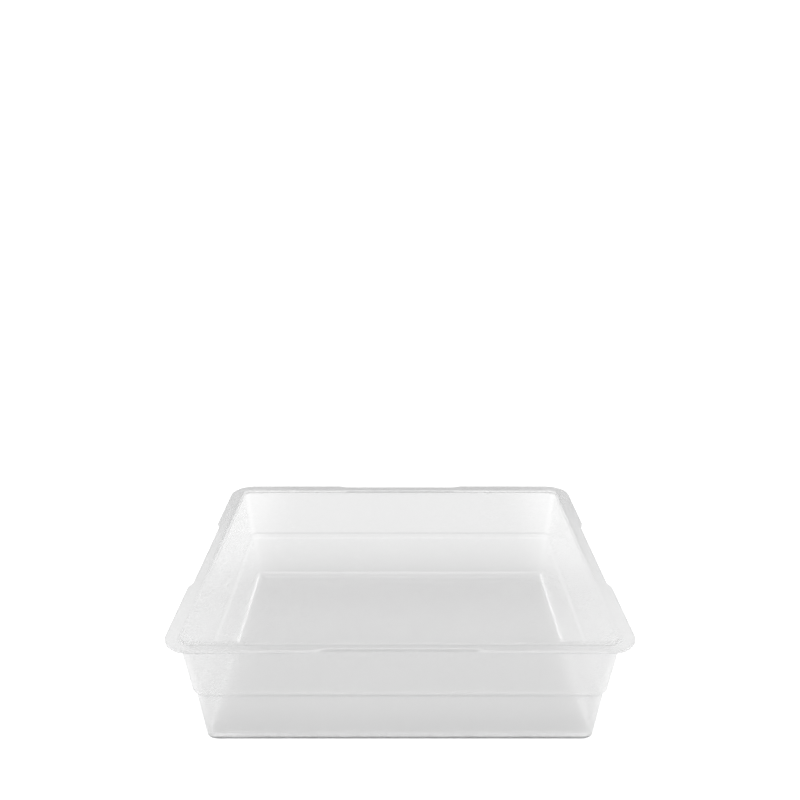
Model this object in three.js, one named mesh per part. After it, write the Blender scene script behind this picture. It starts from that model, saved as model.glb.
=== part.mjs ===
// Clear ice tub, moulded in one piece: a stepped, drafted shell with rounded corners, a plain base and a
// flat rim that is drawn back in a shallow notch at the middle of each side.
// Millimetres, +Z up. The origin is the middle of the base, on the surface that the tub stands on.
import * as THREE from "three";

// Overall size, outside
const rimLength = 354; // along X
const rimWidth = 325; // along Y
const tubHeight = 95; // base to rim top

// Thickness of the moulding
const wallThickness = 2.8;
const floorThickness = 5;
const rimThickness = 3;

// Rim
const rimFlat = 13.4; // free edge to where the inside of the wall, carried up, meets the rim's top
const rimEdgeRadius = 0.9; // rounding of the rim's free edge, top and bottom
const rimBendRadius = 1.6; // from the rim's top down into the inside of the wall
const rimRootRadius = 2; // from the rim's underside into the outside of the wall
const rimCornerRadius = 22.5;
const notchLength = 121; // between the middles of the two ramps
const notchDepth = 2.8;
const notchRamp = 10; // length of each ramp from the full rim into the notch

// Wall
const upperDraft = THREE.MathUtils.degToRad(8);
const lowerDraft = THREE.MathUtils.degToRad(7);
const stepDepth = 47.4; // rim top down to the top of the step, outside
const stepLift = 2; // how much higher the step is on the inside
const stepWidth = 1.6; // how far the wall moves inwards there
const stepRise = 4.5; // over what height it does so
const stepRadius = 0.8;
const wallCornerRadius = 8.3; // upright corners, outside

// Base
const baseEdgeRadius = 4; // outside, wall to base
const floorFilletRadius = 5.5; // inside, wall to floor

// Fineness of the facets
const bendSteps = 5;
const edgeSteps = 3;
const stepSteps = 2;
const filletSteps = 5;
const cornerSteps = 7;
const rampSteps = 4;

// Insets are measured from the rim's free edge.
// topInset is where a face of the wall, carried up, meets the rim's top.
const inside = {
  topInset: rimFlat,
  bendRadius: rimBendRadius,
  cornerRadius: wallCornerRadius - wallThickness,
  stepHeight: tubHeight - stepDepth + stepLift,
};
const outside = {
  topInset: rimFlat - wallThickness / Math.cos(upperDraft),
  bendRadius: rimRootRadius,
  cornerRadius: wallCornerRadius,
  stepHeight: tubHeight - stepDepth,
};

// The corners of one face of the wall, from its lower end up to the bend, each with the radius that rounds it.
function wallCorners(face, lowHeight, lowRadius, bendHeight) {
  const upperInset = (z) => face.topInset + (tubHeight - z) * Math.tan(upperDraft);
  const stepFoot = face.stepHeight - stepRise;
  const ledgeInset = upperInset(stepFoot) + stepWidth;
  const lowInset = ledgeInset + (stepFoot - lowHeight) * Math.tan(lowerDraft);
  return [
    { face, inset: lowInset, z: lowHeight, radius: lowRadius, steps: filletSteps },
    { face, inset: ledgeInset, z: stepFoot, radius: stepRadius, steps: stepSteps },
    { face, inset: upperInset(face.stepHeight), z: face.stepHeight, radius: stepRadius, steps: stepSteps },
    { face, inset: upperInset(bendHeight), z: bendHeight, radius: face.bendRadius, steps: bendSteps },
  ];
}

// The section's corners run from the base, up the outside, over the rim and down the inside to the floor.
function sectionCorners() {
  const rimUnderside = tubHeight - rimThickness;
  const rimEdge = { inset: 0, radius: rimEdgeRadius, steps: edgeSteps, cut: notchDepth };
  return [
    ...wallCorners(outside, 0, baseEdgeRadius, rimUnderside),
    { face: outside, z: rimUnderside, ...rimEdge },
    { face: inside, z: tubHeight, ...rimEdge },
    ...wallCorners(inside, floorThickness, floorFilletRadius, tubHeight).reverse(),
  ];
}

// An arc that is tangent to both sides of a corner, as points from the first side to the second.
function filletArc(before, corner, after) {
  const here = new THREE.Vector2(corner.inset, corner.z);
  const toBefore = before.clone().sub(here);
  const toAfter = after.clone().sub(here);
  const room = Math.min(toBefore.length(), toAfter.length()) / 2;
  toBefore.normalize();
  toAfter.normalize();
  const halfAngle = Math.acos(toBefore.dot(toAfter)) / 2;
  const radius = Math.min(corner.radius, room * Math.tan(halfAngle));
  const bisector = toBefore.clone().add(toAfter).normalize();
  const centre = here.clone().addScaledVector(bisector, radius / Math.sin(halfAngle));
  const first = here.clone().addScaledVector(toBefore, radius / Math.tan(halfAngle)).sub(centre);
  const last = here.clone().addScaledVector(toAfter, radius / Math.tan(halfAngle)).sub(centre);
  const clockwise = first.cross(last) < 0;
  return new THREE.EllipseCurve(
    centre.x, centre.y, radius, radius, first.angle(), last.angle(), clockwise,
  ).getPoints(corner.steps);
}

// The whole section with its corners rounded. Each point becomes one level ring of the shell.
function sectionPoints() {
  const corners = sectionCorners();
  const flat = corners.map((corner) => new THREE.Vector2(corner.inset, corner.z));
  const middle = Math.min(rimLength, rimWidth) / 2;
  const baseMiddle = new THREE.Vector2(middle, 0);
  const floorMiddle = new THREE.Vector2(middle, floorThickness);
  return corners.flatMap((corner, i) => {
    const before = i > 0 ? flat[i - 1] : baseMiddle;
    const after = i < corners.length - 1 ? flat[i + 1] : floorMiddle;
    return filletArc(before, corner, after).map((point) => ({
      face: corner.face,
      inset: point.x,
      z: point.y,
      cut: corner.cut ?? 0,
    }));
  });
}

// Stations along one side: how far from its middle, and what share of the notch's depth is cut there.
function notchStations() {
  const ramp = [];
  for (let i = 0; i <= rampSteps; i += 1) {
    const way = i / rampSteps;
    ramp.push({
      along: notchLength / 2 + notchRamp * (0.5 - way),
      share: THREE.MathUtils.smoothstep(way, 0, 1),
    });
  }
  const mirrored = ramp.map(({ along, share }) => ({ along: -along, share }));
  return [...mirrored, ...ramp.reverse()];
}

// One level ring: a rounded rectangle, drawn anticlockwise from the front, notched in its straight sides.
function ringPoints({ face, inset, z, cut }) {
  const radius = THREE.MathUtils.lerp(rimCornerRadius, face.cornerRadius, Math.min(1, inset / face.topInset));
  const points = [];
  for (let side = 0; side < 4; side += 1) {
    const turn = (side * Math.PI) / 2;
    const along = new THREE.Vector2(Math.cos(turn), Math.sin(turn));
    const outward = new THREE.Vector2(Math.sin(turn), -Math.cos(turn));
    const [halfAlong, halfOut] = side % 2 ? [rimWidth / 2, rimLength / 2] : [rimLength / 2, rimWidth / 2];
    const place = (a, o) => {
      const flat = along.clone().multiplyScalar(a).addScaledVector(outward, o);
      points.push(new THREE.Vector3(flat.x, flat.y, z));
    };
    for (const station of notchStations()) {
      place(station.along, halfOut - inset - cut * station.share);
    }
    for (let i = 0; i <= cornerSteps; i += 1) {
      const angle = (i / cornerSteps) * (Math.PI / 2);
      place(
        halfAlong - inset - radius * (1 - Math.sin(angle)),
        halfOut - inset - radius * (1 - Math.cos(angle)),
      );
    }
  }
  return points;
}

// Skins a stack of rings that have as many points each, and closes the first and the last with flat faces.
function loft(rings) {
  const count = rings[0].length;
  const index = [];
  for (let level = 0; level < rings.length - 1; level += 1) {
    for (let i = 0; i < count; i += 1) {
      const next = (i + 1) % count;
      const [a, b] = [level * count + i, level * count + next];
      const [c, d] = [a + count, b + count];
      index.push(a, b, d, a, d, c);
    }
  }
  const cap = (ring, offset, facesDown) => {
    const outline = ring.map((point) => new THREE.Vector2(point.x, point.y));
    for (const [a, b, c] of THREE.ShapeUtils.triangulateShape(outline, [])) {
      index.push(offset + a, offset + (facesDown ? c : b), offset + (facesDown ? b : c));
    }
  };
  cap(rings[0], 0, true);
  cap(rings[rings.length - 1], (rings.length - 1) * count, false);
  const geometry = new THREE.BufferGeometry().setFromPoints(rings.flat());
  geometry.setIndex(index);
  geometry.computeVertexNormals();
  return geometry;
}

const clearPlastic = new THREE.MeshStandardMaterial({
  color: 0xe6e8ea,
  roughness: 0.12,
  metalness: 0,
  transparent: true,
  opacity: 0.35,
});

const tub = new THREE.Mesh(loft(sectionPoints().map(ringPoints)), clearPlastic);
tub.name = "tub";

const iceTub = new THREE.Group();
iceTub.add(tub);

export default iceTub;
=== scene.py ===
import math

import bpy
import numpy as np
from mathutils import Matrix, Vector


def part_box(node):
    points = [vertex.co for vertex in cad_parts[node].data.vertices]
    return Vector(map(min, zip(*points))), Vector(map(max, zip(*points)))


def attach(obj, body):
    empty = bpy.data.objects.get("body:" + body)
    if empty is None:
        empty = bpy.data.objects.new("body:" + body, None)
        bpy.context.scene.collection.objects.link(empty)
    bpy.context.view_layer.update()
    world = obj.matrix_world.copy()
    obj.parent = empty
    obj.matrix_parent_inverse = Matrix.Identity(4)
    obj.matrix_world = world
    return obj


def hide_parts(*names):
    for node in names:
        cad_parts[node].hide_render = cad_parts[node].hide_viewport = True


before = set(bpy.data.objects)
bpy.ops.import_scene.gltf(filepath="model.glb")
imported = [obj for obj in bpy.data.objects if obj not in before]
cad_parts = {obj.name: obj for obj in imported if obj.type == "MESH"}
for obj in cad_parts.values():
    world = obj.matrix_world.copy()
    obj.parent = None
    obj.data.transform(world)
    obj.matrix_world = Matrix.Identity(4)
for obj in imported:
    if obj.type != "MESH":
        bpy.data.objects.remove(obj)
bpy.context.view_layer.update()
mm = 0.001
rimHigh = np.array(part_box("tub")[1])  # half the rim's length, half its width, the tub's height
tubHeight = rimHigh[2]


# camera: placed from the rim's top, straight in front of the tub
view = {"back": 750.05 * mm, "aboveRim": 362.04 * mm, "pitch": 16.237, "lens": 40.966, "sensor": 36.0}


def addCamera():
    data = bpy.data.cameras.new("camera")
    data.lens, data.sensor_width = view["lens"], view["sensor"]
    camera = bpy.data.objects.new("camera", data)
    camera.location = (0, -view["back"], tubHeight + view["aboveRim"])
    camera.rotation_euler = (math.radians(90 - view["pitch"]), 0, 0)
    bpy.context.collection.objects.link(camera)
    bpy.context.scene.camera = camera
    print("camera set")


# the tub's section, in metres and degrees; insets are measured inwards from the rim's free edge
tubShape = {
    "wall": 2.8 * mm, "floor": 5 * mm, "rim": 3 * mm,
    "rimFlat": 13.4 * mm, "rimEdge": 0.9 * mm, "rimBend": 1.6 * mm, "rimRoot": 2 * mm,
    "rimCorner": 22.5 * mm,
    "notchLength": 121 * mm, "notchDepth": 2.8 * mm, "notchRamp": 10 * mm,
    "upperDraft": 8, "lowerDraft": 7,
    "stepDepth": 47.4 * mm, "stepLift": 2 * mm, "stepWidth": 1.6 * mm,
    "stepRise": 4.5 * mm, "stepRadius": 0.8 * mm,
    "wallCorner": 8.3 * mm, "baseEdge": 4 * mm, "floorFillet": 5.5 * mm,
    "arcSteps": 14, "cornerSteps": 24, "rampSteps": 14, "hold": 0.35 * mm,
}


def filletArc(before, corner, after, radius, steps, hold):
    # circle tangent to both sides of a corner
    # one more point on each side holds the flat beside it flat
    toBefore = (before - corner) / np.linalg.norm(before - corner)
    toAfter = (after - corner) / np.linalg.norm(after - corner)
    half = math.acos(toBefore @ toAfter) / 2
    reach = radius / math.tan(half)
    bisector = (toBefore + toAfter) / np.linalg.norm(toBefore + toAfter)
    centre = corner + bisector * radius / math.sin(half)
    turn = np.linspace(-1, 1, steps + 1)[:, None] * (math.pi / 2 - half)
    across = (toAfter - toBefore) / np.linalg.norm(toAfter - toBefore)
    arc = centre - bisector * radius * np.cos(turn) + across * radius * np.sin(turn)
    return np.vstack([corner + toBefore * (reach + hold), arc, corner + toAfter * (reach + hold)])


def tubSection(shape):
    # rows of inset, height, upright corner radius, notch cut and 1 for outside
    # they run from the base over the rim to the floor
    tall = math.tan(math.radians(shape["upperDraft"]))
    low = math.tan(math.radians(shape["lowerDraft"]))
    innerTop = shape["rimFlat"]
    outerTop = innerTop - shape["wall"] / math.cos(math.radians(shape["upperDraft"]))
    outerStep = tubHeight - shape["stepDepth"]

    def wallCorners(top, step, foot, footRadius, bendHeight, bendRadius):
        stepFoot = step - shape["stepRise"]
        ledge = top + (tubHeight - stepFoot) * tall + shape["stepWidth"]
        return [
            (ledge + (stepFoot - foot) * low, foot, footRadius),
            (ledge, stepFoot, shape["stepRadius"]),
            (top + (tubHeight - step) * tall, step, shape["stepRadius"]),
            (top + (tubHeight - bendHeight) * tall, bendHeight, bendRadius),
        ]

    underside = tubHeight - shape["rim"]
    outer = wallCorners(outerTop, outerStep, 0, shape["baseEdge"], underside, shape["rimRoot"])
    inner = wallCorners(innerTop, outerStep + shape["stepLift"], shape["floor"], shape["floorFillet"],
                        tubHeight, shape["rimBend"])
    edge = [(0, underside, shape["rimEdge"]), (0, tubHeight, shape["rimEdge"])]
    corners = outer + edge + inner[::-1]
    middle = min(rimHigh[0], rimHigh[1])
    path = np.array([(middle, 0)] + [corner[:2] for corner in corners] + [(middle, shape["floor"])])
    rows = []
    for i, corner in enumerate(corners):
        radius = corner[2]
        hold = min(shape["hold"], radius / 4)  # small arcs sit close together
        arc = filletArc(path[i], path[i + 1], path[i + 2], radius, shape["arcSteps"], hold)
        inside = i >= len(outer) + 1
        top = innerTop if inside else outerTop
        upright = shape["wallCorner"] - (shape["wall"] if inside else 0)
        share = np.clip(arc[:, 0] / top, 0, 1)
        onEdge = len(outer) <= i < len(outer) + len(edge)
        rows.append(np.column_stack([
            arc, shape["rimCorner"] * (1 - share) + upright * share,
            np.full(len(arc), shape["notchDepth"] if onEdge else 0), np.full(len(arc), 0 if inside else 1),
        ]))
    return np.vstack(rows)


def tubSurface(shape):
    # each section row becomes a rounded rectangle of its inset, with an S-shaped notch cut into each side
    inset, height, radius, cut, outside = (column[:, None] for column in tubSection(shape).T)
    way = np.linspace(0, 1, shape["rampSteps"] + 1)
    ramp = shape["notchLength"] / 2 + shape["notchRamp"] * (0.5 - way)
    along = np.concatenate([-ramp, ramp[::-1]])[None]
    depth = way * way * (3 - 2 * way)
    cutShare = np.concatenate([depth, depth[::-1]])[None]
    angle = np.linspace(0, math.pi / 2, shape["cornerSteps"] + 1)[None]
    angle = np.concatenate([angle[:, :1], angle, angle[:, -1:]], axis=1)
    holdAlong, holdOut = np.zeros_like(angle), np.zeros_like(angle)
    holdAlong[0, 0], holdOut[0, -1] = shape["hold"], shape["hold"]
    sides = []
    for side in range(4):
        halfAlong, halfOut = rimHigh[:2] if side % 2 == 0 else rimHigh[1::-1]
        a = np.concatenate([
            along + 0 * inset, halfAlong - inset - radius * (1 - np.sin(angle)) - holdAlong,
        ], axis=1)
        o = np.concatenate([
            halfOut - inset - cut * cutShare, halfOut - inset - radius * (1 - np.cos(angle)) - holdOut,
        ], axis=1)
        c, s = round(math.cos(side * math.pi / 2)), round(math.sin(side * math.pi / 2))
        sides.append(np.stack([a * c + o * s, a * s - o * c, height + 0 * a], axis=-1))
    return np.concatenate(sides, axis=1), outside


def buildTub():
    points, outside = tubSurface(tubShape)
    rings, count = points.shape[:2]
    index = np.arange(rings * count).reshape(rings, count)
    nextOne = np.roll(index, -1, axis=1)
    quads = np.stack([index[:-1], nextOne[:-1], nextOne[1:], index[1:]], axis=-1).reshape(-1, 4)
    faces = quads.tolist() + [index[0, ::-1].tolist(), index[-1].tolist()]
    mesh = bpy.data.meshes.new("clearTub")
    mesh.from_pydata(points.reshape(-1, 3).tolist(), [], faces)
    mesh.polygons.foreach_set("use_smooth", np.ones(len(faces), dtype=bool))
    face = mesh.attributes.new("outside", "FLOAT", "POINT")
    face.data.foreach_set("value", np.repeat(outside, count).astype(np.float32))
    mesh.update()
    tub = bpy.data.objects.new("clearTub", mesh)
    bpy.context.collection.objects.link(tub)
    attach(tub, "root")
    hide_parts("tub")
    print("tub built:", len(faces), "faces")
    return tub


class Value:
    # one socket of a node tree, so that arithmetic on it adds Math nodes
    def __init__(self, look, socket):
        self.look, self.socket = look, socket

    def combine(self, operation, first, second):
        return self.look.node("ShaderNodeMath", {"operation": operation}, {0: first, 1: second})

    def __add__(self, other):
        return self.combine("ADD", self, other)

    def __radd__(self, other):
        return self.combine("ADD", other, self)

    def __sub__(self, other):
        return self.combine("SUBTRACT", self, other)

    def __rsub__(self, other):
        return self.combine("SUBTRACT", other, self)

    def __mul__(self, other):
        return self.combine("MULTIPLY", self, other)

    def __rmul__(self, other):
        return self.combine("MULTIPLY", other, self)

    def __abs__(self):
        return self.look.node("ShaderNodeMath", {"operation": "ABSOLUTE"}, {0: self})


class Look:
    # the node tree of a material or a world, and its shader
    def __init__(self, owner, shader="Principled BSDF"):
        owner.use_nodes = True
        self.owner, self.tree = owner, owner.node_tree
        self.shader = self.tree.nodes[shader]

    def feed(self, socket, value):
        if isinstance(value, Value):
            self.tree.links.new(value.socket, socket)
        else:
            socket.default_value = value

    def node(self, kind, settings, inputs, output=0):
        made = self.tree.nodes.new(kind)
        for key, value in settings.items():
            setattr(made, key, value)
        for key, value in inputs.items():
            self.feed(made.inputs[key], value)
        return Value(self, made.outputs[output])

    def axes(self, coordinates):
        split = self.node("ShaderNodeSeparateXYZ", {}, {"Vector": coordinates})
        return [Value(self, socket) for socket in split.socket.node.outputs]

    def rise(self, value, first, last):
        # 0 up to first, 1 from last on, smooth between
        return self.node("ShaderNodeMapRange", {"interpolation_type": "SMOOTHSTEP"}, {
            "Value": value, "From Min": first, "From Max": last,
        })

    def noise(self, place, scale, detail):
        return self.node("ShaderNodeTexNoise", {}, {"Vector": place, "Scale": scale, "Detail": detail})

    def set(self, **inputs):
        for key, value in inputs.items():
            self.feed(self.shader.inputs[key.replace("_", " ")], value)


# clear plastic: hazy, a touch uneven in gloss and wavy as mouldings are, with painted shade in its bends,
# along its foot and low on its walls
# each band is four heights in mm: where it starts, is full, starts to fade and ends
plasticLook = {
    "clear": (1.0, 1.0, 1.0, 1), "paintedShadeColour": (0.1, 0.1, 0.105, 1),
    "ior": 1.55, "rough": 0.2, "roughSwing": 0.04,
    "hazeScale": 9.0, "hazeDetail": 3.0, "hazeTint": 0.02,
    "waveScale": 22.0, "waveDetail": 1.0, "waveHeight": 0.01,
    # painted shade: base is a dark line along the foot, low darkens the lower walls, stepOut, stepIn, root
    # and lip are dark lines in the bends
    "base": (0.02, 0.1, 2.0, 5.6), "basePaintedShade": 0.9, "low": (-2, -1, 5, 42), "lowPaintedShade": 0.19,
    "stepOut": (42.2, 44.2, 45.1, 46.3), "stepOutPaintedShade": 0.3,
    "stepIn": (47.9, 49.0, 49.4, 50.5), "stepInPaintedShade": 0.2,
    "root": (89.8, 90.8, 91.3, 91.95), "rootPaintedShade": 0.16,
    "lip": (92.02, 92.2, 92.7, 93.3), "lipPaintedShade": 0.35,
    # painted shade on the rim's top, faded in by a low angle of sight
    "rimTop": (94.3, 94.9, 96, 97), "rimPaintedShade": 0.45,
    "grazeBlend": 0.5, "grazeFrom": 0.52, "grazeTo": 0.64,
}


def clearPlastic():
    look = Look(bpy.data.materials.new("clearPlastic"))
    place = look.node("ShaderNodeTexCoord", {}, {}, "Object")
    height = look.axes(place)[2]
    haze = look.noise(place, plasticLook["hazeScale"], plasticLook["hazeDetail"])
    wave = look.noise(place, plasticLook["waveScale"], plasticLook["waveDetail"])
    bump = look.node("ShaderNodeBump", {}, {
        "Height": wave, "Strength": plasticLook["waveHeight"], "Distance": mm,
    })
    outside = look.node("ShaderNodeAttribute", {"attribute_name": "outside"}, {}, "Fac")
    # painted shade on the flat rim's top, stronger at a low angle
    graze = look.node("ShaderNodeLayerWeight", {}, {"Blend": plasticLook["grazeBlend"]}, "Facing")
    fromAir = 1 - look.node("ShaderNodeNewGeometry", {}, {}, "Backfacing")

    def band(name):
        start, full, fade, end = (level * mm for level in plasticLook[name])
        return look.rise(height, start, full) * (1 - look.rise(height, fade, end))

    # painted shade in bands on the outer and inner faces, mixed below with the haze's random tone
    paintedShadeBands = ("base", "low", "stepOut", "lip")
    outer = fromAir * sum(plasticLook[name + "PaintedShade"] * band(name) for name in paintedShadeBands)
    outer = outer + plasticLook["rootPaintedShade"] * band("root")
    rimEdge = look.rise(graze, plasticLook["grazeFrom"], plasticLook["grazeTo"])
    inner = plasticLook["stepInPaintedShade"] * band("stepIn") + plasticLook["rimPaintedShade"] * band("rimTop") * rimEdge
    paintedShadeAndHazeTint = look.node("ShaderNodeMix", {"data_type": "RGBA"}, {
        "Factor": outside * outer + (1 - outside) * fromAir * inner + plasticLook["hazeTint"] * haze,
        6: plasticLook["clear"], 7: plasticLook["paintedShadeColour"],  # the colour inputs
    }, 2)
    look.set(
        Base_Color=paintedShadeAndHazeTint, IOR=plasticLook["ior"], Transmission_Weight=1.0,
        Roughness=plasticLook["rough"] + plasticLook["roughSwing"] * (haze - 0.5), Normal=bump,
    )
    print("plastic made")
    return look.owner


# studio: a pale floor that glows, least under the back of the tub and most beside it, a painted shadow of
# the tub on the floor
# the room is brighter at its sides, low at the back and overhead, where the light leans forward
studio = {
    "floorSize": 40.0, "floorGap": 0.2 * mm, "floorTone": (0.1, 0.1, 0.1, 1), "floorRough": 0.9,
    "floorGlow": 0.705, "whiteLift": 0.4, "besideGlow": 0.14, "besideFrom": 0.13, "besideTo": 0.21,
    "farGlow": 0.05, "farFrom": 0.13, "farTo": 0.24,
    "shade": 0.05, "shadeFrom": 0.03, "shadeTo": 0.11, "shadeFade": 0.13, "shadeEnd": 0.18,
    "room": 0.5, "sideLight": 0.6, "sideFrom": 0.2, "sideTo": 0.6, "sideTop": 0.45, "sideEnd": 0.95,
    "lowBack": 0.25, "backFrom": 0.3, "backTo": 0.75, "lowFrom": 0.1, "lowTo": 0.2,
    "topLight": 2.2, "topLean": 30, "topFrom": 0.86, "topTo": 0.95, "bounces": 160,
}


def addStudio():
    def rise(look, value, first, last):
        return look.rise(value, studio[first], studio[last])

    half, low = studio["floorSize"] / 2, -studio["floorGap"]
    mesh = bpy.data.meshes.new("paleFloor")
    mesh.from_pydata([(-half, -half, low), (half, -half, low), (half, half, low), (-half, half, low)],
                     [], [(0, 1, 2, 3)])
    floor = bpy.data.objects.new("paleFloor", mesh)
    bpy.context.collection.objects.link(floor)
    look = Look(bpy.data.materials.new("paleFloor"))
    x, y = look.axes(look.node("ShaderNodeTexCoord", {}, {}, "Object"))[:2]
    # painted shadow: the floor glows less under the back of the tub
    shade = rise(look, y, "shadeFrom", "shadeTo") * (1 - rise(look, y, "shadeFade", "shadeEnd"))
    direct = look.node("ShaderNodeLightPath", {}, {}, "Is Camera Ray")
    glow = (studio["floorGlow"] + studio["whiteLift"] * direct
            + studio["besideGlow"] * rise(look, abs(x), "besideFrom", "besideTo")
            + studio["farGlow"] * rise(look, abs(y), "farFrom", "farTo") - studio["shade"] * shade)
    look.set(Base_Color=studio["floorTone"], Roughness=studio["floorRough"], Specular_IOR_Level=0.0,
             Emission_Color=glow, Emission_Strength=1.0)
    mesh.materials.append(look.owner)

    room = Look(bpy.data.worlds.new("room"), "Background")
    x, y, z = room.axes(room.node("ShaderNodeTexCoord", {}, {}, "Generated"))
    sides = rise(room, abs(x), "sideFrom", "sideTo") * (1 - rise(room, z, "sideTop", "sideEnd"))
    back = rise(room, y, "backFrom", "backTo") * (1 - rise(room, z, "lowFrom", "lowTo"))
    lean = math.radians(studio["topLean"])
    top = rise(room, z * math.cos(lean) - y * math.sin(lean), "topFrom", "topTo")
    direct = room.node("ShaderNodeLightPath", {}, {}, "Is Camera Ray")
    room.set(Color=(1, 1, 1, 1),
             Strength=studio["room"] + studio["sideLight"] * sides + studio["lowBack"] * back
             + studio["topLight"] * top + direct)
    bpy.context.scene.world = room.owner

    scene = bpy.context.scene
    scene.view_settings.view_transform = "Standard"
    for kind in ("max_bounces", "transmission_bounces", "glossy_bounces"):
        setattr(scene.cycles, kind, studio["bounces"])  # light runs a long way inside clear walls
    scene.cycles.denoising_input_passes = "RGB"  # keeps the bends smooth
    scene.cycles.blur_glossy = 0  # haze stays as set on every pass through the plastic
    scene.cycles.caustics_reflective = False  # both off keep the shade under the tub
    scene.cycles.caustics_refractive = False
    print("studio lit")


addCamera()
tub = buildTub()
tub.data.materials.append(clearPlastic())
addStudio()
